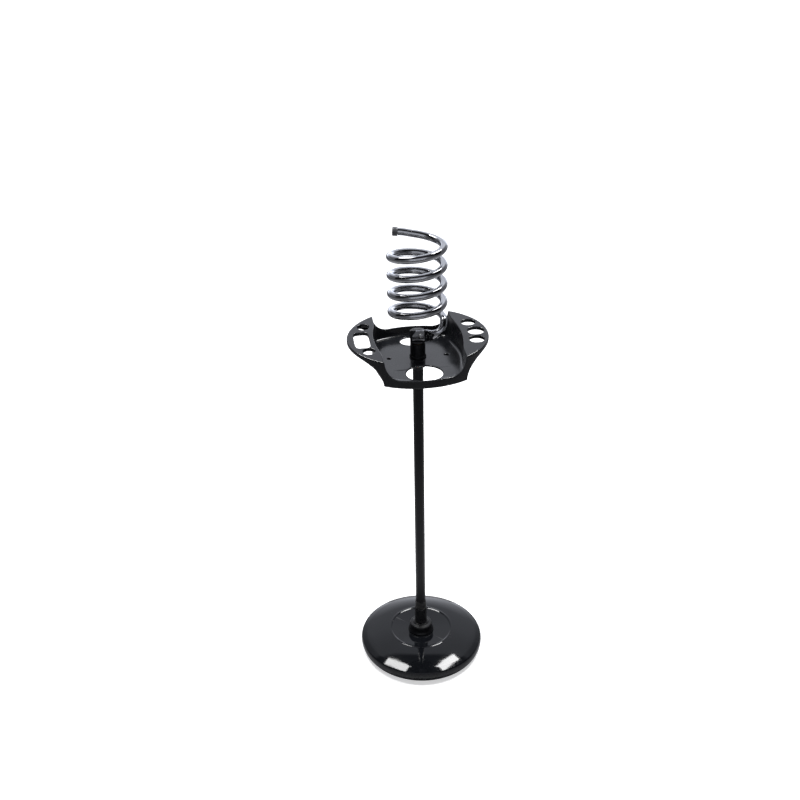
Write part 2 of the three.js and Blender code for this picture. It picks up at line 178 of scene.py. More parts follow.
def surface_net(field, lo, hi, step):
    """A closed quad mesh of field(x, y, z) = 0, its points pulled on to the exact surface."""
    axes = [np.arange(a, b + step, step) for a, b in zip(lo, hi)]
    x, y, z = np.meshgrid(*axes, indexing="ij")
    value = field(x, y, z)
    inside = value < 0
    shape = np.array(value.shape) - 1
    total = np.zeros(tuple(shape) + (3,))
    count = np.zeros(tuple(shape))
    corner = [(i, j, k) for i in (0, 1) for j in (0, 1) for k in (0, 1)]

    def part(grid, c):
        return grid[c[0]:c[0] + shape[0], c[1]:c[1] + shape[1], c[2]:c[2] + shape[2]]

    for axis in range(3):
        for c in corner:
            if c[axis]:
                continue
            d = list(c)
            d[axis] = 1
            va, vb = part(value, c), part(value, d)
            crossing = part(inside, c) != part(inside, d)
            t = np.where(crossing, va / np.where(crossing, va - vb, 1), 0)
            for q in range(3):
                total[..., q] += np.where(crossing, c[q] + (t if q == axis else 0), 0)
            count += crossing
    active = count > 0
    number = np.full(tuple(shape), -1)
    number[active] = np.arange(active.sum())
    cell = np.argwhere(active)
    points = np.array(lo) + (cell + total[active] / count[active][:, None]) * step
    faces = []
    for axis in range(3):
        u, v = (axis + 1) % 3, (axis + 2) % 3
        size = np.array(value.shape)
        size[axis] -= 1
        low = [1, 1, 1]
        low[axis] = 0
        high = list(size - 1)
        high[axis] = size[axis]
        box = tuple(slice(a, b) for a, b in zip(low, high))
        nxt = list(box)
        nxt[axis] = slice(box[axis].start + 1, box[axis].stop + 1)
        a, b = inside[box], inside[tuple(nxt)]
        for rising in (True, False):
            pick = np.argwhere((a & ~b) if rising else (~a & b)) + np.array(low)
            quad = []
            for du, dv in ((-1, -1), (0, -1), (0, 0), (-1, 0)):
                at = pick.copy()
                at[:, u] += du
                at[:, v] += dv
                quad.append(number[at[:, 0], at[:, 1], at[:, 2]])
            quad = np.stack(quad, 1)
            faces.append(quad if rising else quad[:, ::-1])
    h = 0.02
    for _ in range(4):
        px, py, pz = points.T
        f0 = field(px, py, pz)
        grad = np.stack([
            field(px + h, py, pz) - field(px - h, py, pz),
            field(px, py + h, pz) - field(px, py - h, pz),
            field(px, py, pz + h) - field(px, py, pz - h),
        ], 1) / (2 * h)
        move = (f0 / np.maximum((grad ** 2).sum(1), 0.15))[:, None] * grad
        points = points - np.clip(move, -0.4 * step, 0.4 * step)
    return points, np.concatenate(faces).tolist()


# ---------------------------------------------------------------- node helpers
class Nodes:
    """A short way to write a material's node tree."""

    def __init__(self, name):
        self.material = bpy.data.materials.new(name)
        self.material.use_nodes = True
        self.tree = self.material.node_tree
        self.shader = self.tree.nodes["Principled BSDF"]
        self.place = self.add("ShaderNodeTexCoord").outputs["Object"]

    def add(self, kind, **settings):
        node = self.tree.nodes.new(kind)
        for key, value in settings.items():
            setattr(node, key, value)
        return node

    def link(self, a, b):
        self.tree.links.new(a, b)

    def fixed(self, **values):
        for key, value in values.items():
            self.shader.inputs[key.replace("_", " ")].default_value = value

    def noise(self, scale, detail=4.0, rough=0.55, stretch=None):
        node = self.add("ShaderNodeTexNoise")
        node.inputs["Scale"].default_value = scale
        node.inputs["Detail"].default_value = detail
        node.inputs["Roughness"].default_value = rough
        self.link(self.stretched(stretch) if stretch else self.place, node.inputs["Vector"])
        return node.outputs["Fac"]

    def stretched(self, scale):
        node = self.add("ShaderNodeMapping")
        node.inputs["Scale"].default_value = scale
        self.link(self.place, node.inputs["Vector"])
        return node.outputs["Vector"]

    def cells(self, scale, feature="F1", stretch=None):
        node = self.add("ShaderNodeTexVoronoi", feature=feature)
        node.inputs["Scale"].default_value = scale
        self.link(self.stretched(stretch) if stretch else self.place, node.inputs["Vector"])
        return node.outputs["Distance"]

    def span(self, source, a, b, c, d):
        node = self.add("ShaderNodeMapRange")
        for key, value in zip(("From Min", "From Max", "To Min", "To Max"), (a, b, c, d)):
            node.inputs[key].default_value = value
        self.link(source, node.inputs["Value"])
        return node.outputs["Result"]

    def maths(self, kind, a, b):
        node = self.add("ShaderNodeMath", operation=kind)
        for socket, value in zip(node.inputs, (a, b)):
            if isinstance(value, (int, float)):
                socket.default_value = value
            else:
                self.link(value, socket)
        return node.outputs["Value"]

    def blend(self, fac, a, b):
        node = self.add("ShaderNodeMix", data_type="RGBA")
        self.link(fac, node.inputs["Factor"])
        for socket, value in ((node.inputs[6], a), (node.inputs[7], b)):
            if isinstance(value, tuple):
                socket.default_value = (*value, 1.0)
            else:
                self.link(value, socket)
        return node.outputs[2]

    def edge(self, low=0.5, high=0.56):
        pointy = self.add("ShaderNodeNewGeometry").outputs["Pointiness"]
        return self.span(pointy, low, high, 0.0, 1.0)

    def height(self):
        split = self.add("ShaderNodeSeparateXYZ")
        self.link(self.place, split.inputs["Vector"])
        return split.outputs["Z"]

    def along(self, direction):
        node = self.add("ShaderNodeVectorMath", operation="DOT_PRODUCT")
        self.link(self.place, node.inputs[0])
        node.inputs[1].default_value = direction
        return node.outputs["Value"]

    def bump(self, layers):
        """Stacks (height, strength, distance in metres) layers into the shader's normal."""
        last = None
        for source, strength, distance in layers:
            node = self.add("ShaderNodeBump")
            node.inputs["Strength"].default_value = strength
            node.inputs["Distance"].default_value = distance
            self.link(source, node.inputs["Height"])
            if last is not None:
                self.link(last, node.inputs["Normal"])
            last = node.outputs["Normal"]
        self.link(last, self.shader.inputs["Normal"])

    def colour(self, source):
        self.link(source, self.shader.inputs["Base Color"])

    def rough(self, source):
        self.link(source, self.shader.inputs["Roughness"])


def gloss_black():
    """Polished black moulding: dust, wiped haze and fine swirls over a deep gloss, with a painted
    reflection of the floor as lighter grey patches on the lowest band, where the roughness is also
    scuffed.
    """
    m = Nodes("gloss_black")
    m.fixed(Specular_IOR_Level=0.25)
    dust = m.span(m.noise(230, 6, 0.7), 0.62, 0.78, 0.0, 0.55)
    haze = m.span(m.noise(9, 5), 0.35, 0.7, 0.0, 1.0)
    # Painted reflection: the band below the base's crease is lightened in patches, standing in for the
    # floor reflected there; the same patches get scuffed roughness and bumps.
    low = m.span(m.height(), 0.028, 0.004, 0.0, 1.0)
    scuffs_and_painted_floor_reflection = m.maths("MULTIPLY", low, m.span(m.noise(160, 5, 0.7), 0.42, 0.62, 0.0, 1.0))
    tone = m.blend(dust, (0.0046, 0.0052, 0.0066), (0.013, 0.0135, 0.015))
    # The grey blended in here is the painted floor reflection on the lowest band.
    tone = m.blend(scuffs_and_painted_floor_reflection, tone, (0.032, 0.032, 0.032))
    m.colour(m.blend(m.edge(0.52, 0.62), tone, (0.03, 0.03, 0.031)))
    swirl = m.span(m.noise(900, 3, 0.7, (1.0, 0.12, 1.0)), 0.62, 0.75, 0.0, 0.05)
    base = m.maths("ADD", m.span(haze, 0, 1, 0.03, 0.085), swirl)
    m.rough(m.maths("ADD", base, m.maths("MULTIPLY", scuffs_and_painted_floor_reflection, 0.28)))
    m.bump([(m.noise(420, 3), 0.05, 0.0003), (scuffs_and_painted_floor_reflection, 0.12, 0.0002), (m.noise(28, 2), 0.04, 0.002)])
    return m.material


def tray_plastic():
    """Moulded black plastic: gloss above, finely spark-textured below, with flow marks and light wear."""
    m = Nodes("tray_plastic")
    m.fixed(Specular_IOR_Level=0.45)
    flow = m.noise(16, 5, 0.6, (1.0, 3.2, 1.0))
    dust = m.span(m.noise(260, 6, 0.72), 0.6, 0.78, 0.0, 0.6)
    tone = m.blend(m.span(flow, 0.3, 0.7, 0.0, 1.0), (0.0052, 0.0058, 0.0072), (0.0085, 0.0092, 0.011))
    tone = m.blend(dust, tone, (0.034, 0.035, 0.037))
    m.colour(m.blend(m.edge(0.52, 0.66), tone, (0.044, 0.045, 0.048)))
    wiped = m.span(m.noise(11, 6, 0.65), 0.35, 0.72, 0.13, 0.24)
    hair = m.span(m.noise(520, 3, 0.7, (1.0, 0.1, 1.0)), 0.62, 0.76, 0.0, 0.08)
    facing = m.add("ShaderNodeSeparateXYZ")
    m.link(m.add("ShaderNodeTexCoord").outputs["Normal"], facing.inputs["Vector"])
    under = m.span(facing.outputs["Z"], 0.25, -0.25, 0.0, 1.0)
    m.rough(m.maths("ADD", m.maths("ADD", wiped, hair), m.maths("MULTIPLY", under, 0.2)))
    grain = m.maths("MULTIPLY", m.noise(1500, 2), m.span(under, 0, 1, 0.12, 1.0))
    m.bump([(grain, 0.3, 0.00012), (m.noise(30, 3), 0.06, 0.0015)])
    return m.material


def enamel():
    """Semi-gloss black enamel on the post, with a light orange peel and rubbed streaks."""
    m = Nodes("post_enamel")
    m.fixed(Specular_IOR_Level=0.27)
    streak = m.span(m.noise(60, 4, 0.6, (1.0, 1.0, 0.04)), 0.35, 0.7, 0.0, 1.0)
    speck = m.span(m.noise(340, 5, 0.75), 0.64, 0.76, 0.0, 0.7)
    tone = m.blend(streak, (0.006, 0.0061, 0.0066), (0.011, 0.0112, 0.012))
    m.colour(m.blend(speck, tone, (0.026, 0.026, 0.027)))
    m.rough(m.maths("ADD", m.span(streak, 0, 1, 0.24, 0.36), m.maths("MULTIPLY", speck, 0.15)))
    m.bump([(m.noise(650, 2), 0.16, 0.0002), (m.noise(90, 3), 0.06, 0.0006)])
    return m.material


def fitting_black():
    """Satin black fittings: fine grain, rubbed edges."""
    m = Nodes("fitting_black")
    m.fixed(Specular_IOR_Level=0.26)
    blotch = m.span(m.noise(70, 5), 0.35, 0.7, 0.0, 1.0)
    tone = m.blend(blotch, (0.0045, 0.0047, 0.0053), (0.009, 0.0092, 0.0105))
    m.colour(m.blend(m.edge(0.51, 0.6), tone, (0.032, 0.032, 0.034)))
    m.rough(m.span(m.noise(110, 5), 0.3, 0.7, 0.24, 0.4))
    m.bump([(m.noise(1300, 2), 0.22, 0.00012), (m.noise(160, 3), 0.08, 0.0004)])
    return m.material


def chrome():
    """Bright chrome plate: cool tint, wiping haze along the tube, tiny pits and hairlines."""
    m = Nodes("chrome_plate")
    m.fixed(Metallic=1.0, Specular_Tint=(0.95, 0.97, 1.0, 1.0))
    haze = m.span(m.noise(34, 5, 0.6), 0.35, 0.72, 0.0, 1.0)
    pit = m.span(m.cells(620), 0.0, 0.075, 1.0, 0.0)
    tone = m.blend(haze, (0.5, 0.503, 0.518), (0.41, 0.413, 0.428))
    pitted = m.maths("MULTIPLY", pit, m.span(m.noise(25, 3), 0.55, 0.62, 0.0, 1.0))
    m.colour(m.blend(pitted, tone, (0.16, 0.15, 0.14)))
    hair = m.span(m.noise(700, 3, 0.7, (1.0, 1.0, 0.15)), 0.6, 0.75, 0.0, 0.07)
    m.rough(m.maths("ADD", m.span(haze, 0, 1, 0.04, 0.11), hair))
    m.bump([(m.noise(45, 3), 0.05, 0.0012), (pit, 0.05, 0.0001)])
    return m.material


def zinc():
    """Bright zinc plate with a slight yellowish bloom."""
    m = Nodes("zinc_plate")
    m.fixed(Metallic=1.0)
    bloom = m.span(m.noise(150, 5), 0.35, 0.7, 0.0, 1.0)
    tone = m.blend(bloom, (0.62, 0.63, 0.65), (0.5, 0.48, 0.42))
    m.colour(m.blend(m.edge(0.52, 0.6), tone, (0.8, 0.8, 0.81)))
    m.rough(m.span(m.noise(420, 5), 0.3, 0.7, 0.2, 0.42))
    m.bump([(m.noise(900, 3), 0.25, 0.0001)])
    return m.material


def bare_steel():
    """Turned steel: fine rings about the axis and a thin film of oil."""
    m = Nodes("bare_steel")
    m.fixed(Metallic=1.0)
    ring = m.noise(40, 4, 0.6, (1.0, 1.0, 45.0))
    tone = m.blend(m.span(ring, 0.35, 0.7, 0.0, 1.0), (0.36, 0.365, 0.37), (0.5, 0.5, 0.505))
    m.colour(m.blend(m.span(m.noise(60, 5), 0.55, 0.75, 0.0, 0.7), tone, (0.2, 0.17, 0.13)))
    m.rough(m.span(ring, 0.3, 0.7, 0.26, 0.44))
    m.bump([(ring, 0.18, 0.00015)])
    return m.material


def cast_iron():
    """Rough cast iron with a dull brown bloom."""
    m = Nodes("cast_iron")
    m.fixed(Metallic=0.55)
    rust = m.span(m.noise(26, 8, 0.68), 0.52, 0.66, 0.0, 0.85)
    m.colour(m.blend(rust, (0.045, 0.045, 0.048), (0.12, 0.06, 0.032)))
    m.rough(m.span(m.noise(90, 6), 0.3, 0.7, 0.62, 0.9))
    m.bump([(m.noise(420, 8, 0.7), 0.7, 0.0006), (m.noise(60, 4), 0.3, 0.0015)])
    return m.material


def plate_paint():
    """Black powder coat on the bottom plate, scraped where it has slid on the floor."""
    m = Nodes("plate_paint")
    m.fixed(Metallic=0.1)
    scrape = m.span(m.noise(40, 7, 0.7, (0.35, 1.8, 1.0)), 0.6, 0.68, 0.0, 0.8)
    grime = m.span(m.noise(14, 6), 0.4, 0.7, 0.0, 1.0)
    tone = m.blend(grime, (0.016, 0.016, 0.017), (0.032, 0.031, 0.029))
    m.colour(m.blend(scrape, tone, (0.09, 0.088, 0.085)))
    m.rough(m.span(m.noise(220, 5), 0.3, 0.7, 0.42, 0.62))
    m.bump([(m.noise(1100, 3), 0.4, 0.00022), (scrape, 0.1, 0.0001)])
    return m.material


def rubber():
    """Matt black rubber with a dusty bloom and scuffed soles."""
    m = Nodes("foot_rubber")
    m.fixed(Specular_IOR_Level=0.3)
    bloom = m.span(m.noise(120, 7, 0.7), 0.45, 0.7, 0.0, 1.0)
    m.colour(m.blend(bloom, (0.012, 0.012, 0.012), (0.038, 0.037, 0.035)))
    m.rough(m.span(bloom, 0, 1, 0.62, 0.86))
    m.bump([(m.noise(800, 6, 0.7), 0.5, 0.0002)])
    return m.material


def nylon():
    """Natural nylon, slightly yellowed and faintly translucent."""
    m = Nodes("washer_nylon")
    m.fixed(Subsurface_Weight=0.15, Subsurface_Scale=0.002)
    m.colour(m.blend(m.span(m.noise(90, 5), 0.35, 0.7, 0.0, 1.0), (0.66, 0.64, 0.58), (0.5, 0.48, 0.42)))
    m.rough(m.span(m.noise(300, 4), 0.3, 0.7, 0.34, 0.5))
    m.bump([(m.noise(900, 3), 0.2, 0.0001)])
    return m.material


def brass():
    """Turned brass with fine rings about the axis."""
    m = Nodes("bush_brass")
    m.fixed(Metallic=1.0)
    ring = m.noise(30, 4, 0.6, (1.0, 1.0, 50.0))
    m.colour(m.blend(m.span(ring, 0.3, 0.7, 0.0, 1.0), (0.62, 0.44, 0.19), (0.4, 0.27, 0.12)))
    m.rough(m.span(ring, 0.3, 0.7, 0.22, 0.42))
    m.bump([(ring, 0.2, 0.00015)])
    return m.material


def cap_plastic():
    """Dark grey moulded end cap with a soft sheen."""
    m = Nodes("cap_plastic")
    m.fixed(Specular_IOR_Level=0.55)
    blotch = m.span(m.noise(140, 5), 0.35, 0.7, 0.0, 1.0)
    m.colour(m.blend(blotch, (0.05, 0.051, 0.056), (0.085, 0.086, 0.092)))
    m.rough(m.span(m.noise(240, 4), 0.3, 0.7, 0.26, 0.42))
    m.bump([(m.noise(1200, 2), 0.2, 0.0001)])
    return m.material


GLOSS = gloss_black()
CAP = cap_plastic()
TRAY = tray_plastic()
ENAMEL = enamel()
FITTING = fitting_black()
CHROME = chrome()
ZINC = zinc()
STEEL = bare_steel()
IRON = cast_iron()
PLATE = plate_paint()
RUBBER = rubber()
NYLON = nylon()
BRASS = brass()


# ---------------------------------------------------------------- base
def polar(radius, count, start):
    """Numbered places round the axis."""
    for i in range(count):
        t = start + 2 * math.pi * i / count
        yield i + 1, radius * math.cos(t), radius * math.sin(t)


def move_to(x, y):
    return Matrix.Identity(4), (x, y, 0.0)


def base_cover():
    """The gloss shell: rim, dome with its raised ring, then the inside back down to the rim."""
    corners = [
        (133.6, 3.0, 0.9), (137.4, 8.5, 40), (139.4, 15.0, 40), (140.0, 21.5, 30), (139.4, 26.4, 14),
        (137.7, 29.2, 1.3), (126.5, 33.6, 80), (115.5, 37.2, 80), (104.5, 40.4, 80), (93.5, 43.1, 80),
        (82.5, 45.2, 60), (73.8, 46.4, 3), (71.8, 47.1, 2.4), (69.6, 46.8, 2.4), (67.4, 45.7, 3),
        (48.0, 43.4, 60), (28.0, 41.3, 30), (6.6, 41.2, 0.4), (6.6, 38.2, 0.4), (28.0, 38.3, 20),
        (68.0, 42.8, 10), (74.0, 43.2, 10), (93.5, 39.9, 60), (115.5, 33.9, 60), (134.0, 26.6, 6),
        (136.6, 21.5, 12), (134.2, 10.0, 14), (130.4, 3.0, 0.9),
    ]
    turned("base_cover_shell", corners, "stand", GLOSS, ["base_cover"], 256,
           steps=10, smooth=50)
    for i, x, y in polar(PLATE_SCREW_RING, 4, math.pi / 4):
        boss = [(2.2, 5.6, 0.3), (4.5, 5.6, 0.5), (5.0, 32.6, 0), (2.2, 32.6, 0)]
        turned(f"base_boss_{i}", boss, "stand", GLOSS, [], 32, move_to(x, y))


def base_inside():
    """The weight, bottom plate, feet, screws and clamping stack under the shell."""
    weight = [
        (5.4, 13.6, 0.3), (13.5, 13.6, 0.6), (13.5, 5.4, 0.8), (110.0, 5.4, 2.0), (110.0, 18.3, 2.0),
        (5.4, 18.3, 0.5),
    ]
    turned("cast_weight", weight, "stand", IRON, ["base_weight"], 128)
    plate = [
        (13.5, 3.0, 0.3), (60.0, 3.0, 2.0), (61.5, 3.5, 2.0), (88.0, 3.5, 2.0), (89.5, 3.0, 2.0),
        (127.8, 3.0, 0.5), (127.8, 5.1, 0.5), (13.5, 5.1, 0.3),
    ]
    turned("bottom_plate", plate, "stand", PLATE, ["base_plate"], 160)
    foot = [
        (0, 0.35, 0), (5.6, 0.35, 0.3), (6.2, 0.0, 0.3), (8.9, 0.0, 0.8), (10.0, 1.1, 0.6), (10.0, 3.0, 0),
        (0, 3.0, 0),
    ]
    for i, x, y in polar(FOOT_RING, 5, math.pi / 2):
        node = f"rubber_foot_{i}"
        turned(f"foot_pad_{i}", foot, "stand", RUBBER, [node], 64, move_to(x, y))
    for i, x, y in polar(PLATE_SCREW_RING, 4, math.pi / 4):
        pan_screw(f"pan_screw_{i}", f"plate_screw_{i}", "stand", 4.0, 1.0, 3.0, 2.0, 18.0, move_to(x, y))
    washer = [(5.3, 11.9, 0.1), (11.0, 11.9, 0.3), (11.0, 13.3, 0.3), (5.3, 13.3, 0.1)]
    turned("bolt_washer", washer, "stand", ZINC, ["tie_washer"], 64)
    spacer = [(5.5, 18.6, 0.3), (10.0, 18.6, 0.5), (10.0, 37.9, 0.5), (5.5, 37.9, 0.3)]
    turned("clamp_spacer", spacer, "stand", STEEL, ["base_spacer"], 64)
    hex_bolt()


def pan_screw(name, node, body, head_r, z_low, z_seat, shank_r, z_end, move):
    """A pan head with a pressed cross, its head downwards, and a threaded shank."""
    cross = 0.55 * head_r
    rings = 40
    segments = 64
    verts, faces = [], []
    for i in range(rings + 1):
        r = head_r * math.sin(0.5 * math.pi * i / rings)
        dome = z_low + (z_seat - z_low) * (1 - math.sqrt(max(0.0, 1 - (r / head_r) ** 2.6)))
        for j in range(segments):
            t = 2 * math.pi * j / segments
            x, y = r * math.cos(t), r * math.sin(t)
            arm = min(max(abs(x), abs(y)) / cross, 1.2)
            thin = min(abs(x), abs(y)) / (0.24 * head_r)
            depth = 0.55 * (z_seat - z_low) * max(0.0, 1 - arm ** 3) * max(0.0, 1 - thin ** 4)
            verts.append((x, y, dome + depth))
    profile = [(head_r, z_seat), (shank_r, z_seat)]
    pitch = 0.8
    z = z_seat + 0.4
    while z < z_end - 1.0:
        profile += [(shank_r, z), (shank_r - 0.35, z + 0.5 * pitch)]
        z += pitch
    profile += [(shank_r, z_end - 0.8), (shank_r - 0.7, z_end)]
    for r, z in profile:
        for j in range(segments):
            t = 2 * math.pi * j / segments
            verts.append((r * math.cos(t), r * math.sin(t), z))
    total = rings + 1 + len(profile)
    for i in range(total - 1):
        for j in range(segments):
            k = (j + 1) % segments
            a, b = i * segments, (i + 1) * segments
            faces.append((a + j, b + j, b + k, a + k))
    verts.append((0.0, 0.0, z_end))
    for j in range(segments):
        k = (j + 1) % segments
        faces.append(((total - 1) * segments + j, len(verts) - 1, (total - 1) * segments + k))
    faces = [tuple(v if v >= segments else 0 for v in f) for f in faces]
    faces = [tuple(dict.fromkeys(f)) for f in faces]
    verts = np.array(verts)
    if signed_volume(verts, faces) < 0:
        faces = [f[::-1] for f in faces]
    rot, shift = move
    verts = verts @ np.array(rot.to_3x3()).T + np.array(shift)
    keep = sorted({v for f in faces for v in f})
    where = {v: i for i, v in enumerate(keep)}
    faces = [tuple(where[v] for v in f) for f in faces if len(f) > 2]
    return new_object(name, verts[keep], faces, body, ZINC, [node], 35)


def hex_bolt():
    """A hexagon head with a chamfered crown, a washer face and a threaded shank."""
    flats, count = BOLT_FLATS, 96
    verts, faces = [], []

    def ring(radius_of, height_of):
        start = len(verts)
        for j in range(count):
            t = 2 * math.pi * j / count
            hexa = flats / math.cos((t + math.pi / 6) % (math.pi / 3) - math.pi / 6)
            r = radius_of(hexa)
            verts.append((r * math.cos(t), r * math.sin(t), height_of(hexa)))
        return start

    rings = [
        ring(lambda h: 2.0, lambda h: 5.75), ring(lambda h: 7.9, lambda h: 5.65),
        ring(lambda h: min(h, 8.6) - 0.2, lambda h: 5.7),
        ring(lambda h: h, lambda h: 6.0 + 0.9 * (h - flats)),
        ring(lambda h: h, lambda h: 11.1 - 0.5 * (h - flats)),
        ring(lambda h: min(h, 8.4), lambda h: 11.4), ring(lambda h: 8.0, lambda h: 11.6),
        ring(lambda h: BOLT_R, lambda h: 11.6),
    ]
    z = 14.0
    while z < 90.0:
        rings += [ring(lambda h: BOLT_R, lambda h, z=z: z), ring(lambda h: 4.3, lambda h, z=z: z + 0.75)]
        z += 1.5
    rings += [ring(lambda h: BOLT_R, lambda h: 91.0), ring(lambda h: 4.2, lambda h: 92.0)]
    for a, b in zip(rings, rings[1:]):
        for j in range(count):
            k = (j + 1) % count
            faces.append((a + j, a + k, b + k, b + j))
    for start, z in ((rings[0], 5.75), (rings[-1], 92.0)):
        verts.append((0.0, 0.0, z))
        for j in range(count):
            k = (j + 1) % count
            a, b = (j, k) if start else (k, j)
            faces.append((start + a, len(verts) - 1, start + b))
    verts = np.array(verts)
    if signed_volume(verts, faces) < 0:
        faces = [f[::-1] for f in faces]
    new_object("hex_tie_bolt", verts, faces, "stand", ZINC, ["tie_bolt"], 30)


# ---------------------------------------------------------------- post
def post():
    """The flange, collar, ferrule, tube and the journal that carries the tray."""
    flange = [
        (5.5, 41.5, 0.3), (28.3, 41.5, 0.3), (28.9, 42.3, 0.5), (28.6, 44.6, 1.0), (27.2, 46.4, 3),
        (26.3, 49.0, 6), (25.8, 53.0, 10), (25.5, 59.6, 2.0), (24.0, 61.8, 1.6), (18.0, 62.7, 2.5),
        (16.4, 65.4, 0.8), (11.3, 65.4, 0.4), (11.3, 49.9, 0.5), (5.5, 49.9, 0.3),
    ]
    turned("bell_flange", flange, "stand", FITTING, ["base_flange"], 128, steps=6)
    collar = [
        (11.25, 65.7, 0.3), (13.6, 65.7, 0.5), (14.0, 67.0, 0.5), (14.0, 69.4, 0.3), (13.6, 70.0, 0.3),
        (13.6, 99.6, 0.3), (14.0, 100.2, 0.3), (14.0, 104.0, 0.6), (13.2, 105.0, 0.5), (11.25, 105.0, 0.3),
    ]
    turned("clamp_collar", collar, "stand", FITTING, ["post_collar"], 128, steps=5)
    socket_screw("collar_grub", "collar_screw", 11.4, 13.85, 86.0)
    ferrule = [
        (11.1, 105.2, 0.2), (12.1, 105.2, 0.5), (12.0, 123.2, 0.8), (11.2, 124.0, 0.2), (11.1, 124.0, 0.1),
    ]
    turned("rubber_ferrule", ferrule, "stand", RUBBER, ["post_ferrule"], 96)
    tube = [(9.5, 50.3, 0.3), (POST_R, 50.3, 0.5), (POST_R, 712.0, 0.4), (9.5, 712.0, 0.3)]
    turned("post_pipe", tube, "stand", ENAMEL, ["post_tube"], 128)
    plug = [(5.1, 58.0, 0.6), (9.3, 58.0, 0.8), (9.3, 94.0, 0.8), (5.1, 94.0, 0.6)]
    turned("threaded_plug", plug, "stand", STEEL, ["post_plug"], 64)
    head = [
        (0, 690, 0), (9.3, 690.0, 1.2), (9.3, 712.2, 0.1), (POST_R, 712.2, 0.3), (POST_R, 719.4, 1.0),
        (18.0, 720.5, 0.5), (18.0, 722.4, 0.5), (8.0, 722.4, 0.3), (8.0, 753.0, 0.8), (0, 753.0, 0),
    ]
    turned("swivel_journal", head, "stand", FITTING, ["post_head"], 96)
    washer = [(8.2, 722.7, 0.2), (17.6, 722.7, 0.4), (17.6, 724.0, 0.4), (8.2, 724.0, 0.2)]
    turned("nylon_washer", washer, "stand", NYLON, ["tray_washer"], 96)


def socket_screw(name, node, r_in, r_out, z):
    """A set screw lying along +Y with a socket in its outer end."""
    corners = [
        (0, r_in, 0), (2.3, r_in, 0.2), (2.3, r_out, 0.35), (1.3, r_out, 0.1), (1.2, r_out - 1.5, 0.05),
        (0, r_out - 1.8, 0),
    ]
    rot = Matrix.Rotation(math.pi / 2, 4, "Z") @ Matrix.Rotation(math.pi / 2, 4, "Y")
    turned(name, corners, "stand", FITTING, [node], 48, (rot, (0, 0, z)))


def hub():
    """The barrel on the journal, with the brass bush that carries the spiral."""
    top = HUB_TOP
    corners = [
        (8.15, TRAY_Z + 0.4, 0.2), (17.0, TRAY_Z + 0.4, 0.5), (17.0, TRAY_Z + 3.4, 0.8),
        (16.0, TRAY_Z + 4.6, 0.8), (HUB_R, TRAY_Z + 5.4, 0.6), (HUB_R, top - 0.2, 0.9), (14.6, top, 0.3),
        (8.7, top, 0.3), (8.7, 754.6, 0.3), (8.15, 754.6, 0.2),
    ]
    turned("hub_barrel", corners, "stand", FITTING, ["hub"], 128, steps=5)
    socket_screw("hub_grub", "hub_screw", 8.6, 15.1, 748.0)
    bush = [
        (6.1, 755.0, 0.2), (8.4, 755.0, 0.4), (8.4, top + 0.3, 0.1), (13.0, top + 0.3, 0.2),
        (13.0, top + 1.2, 0.3), (6.1, top + 1.2, 0.2),
    ]
    turned("flanged_bush", bush, "stand", BRASS, ["spindle_bush"], 96)


# ---------------------------------------------------------------- tray
def smax(a, b, k):
    """The larger of two fields, with the crease rounded over a width k."""
    h = np.clip(0.5 + 0.5 * (a - b) / k, 0, 1)
    return b + (a - b) * h + k * h * (1 - h)


def smin(a, b, k):
    return -smax(-a, -b, k)


def oval_field(x, y, cx, cy, rx, ry, power=2.0):
    """Distance outside a rounded outline in plan, negative inside it."""
    p, q = np.abs(x - cx) / rx, np.abs(y - cy) / ry
    level = (p ** power + q ** power + 1e-12) ** (1 / power)
    slope = np.sqrt((p ** (power - 1) / rx) ** 2 + (q ** (power - 1) / ry) ** 2) / level ** (power - 1)
    return (level - 1) / np.maximum(slope, 1e-4)


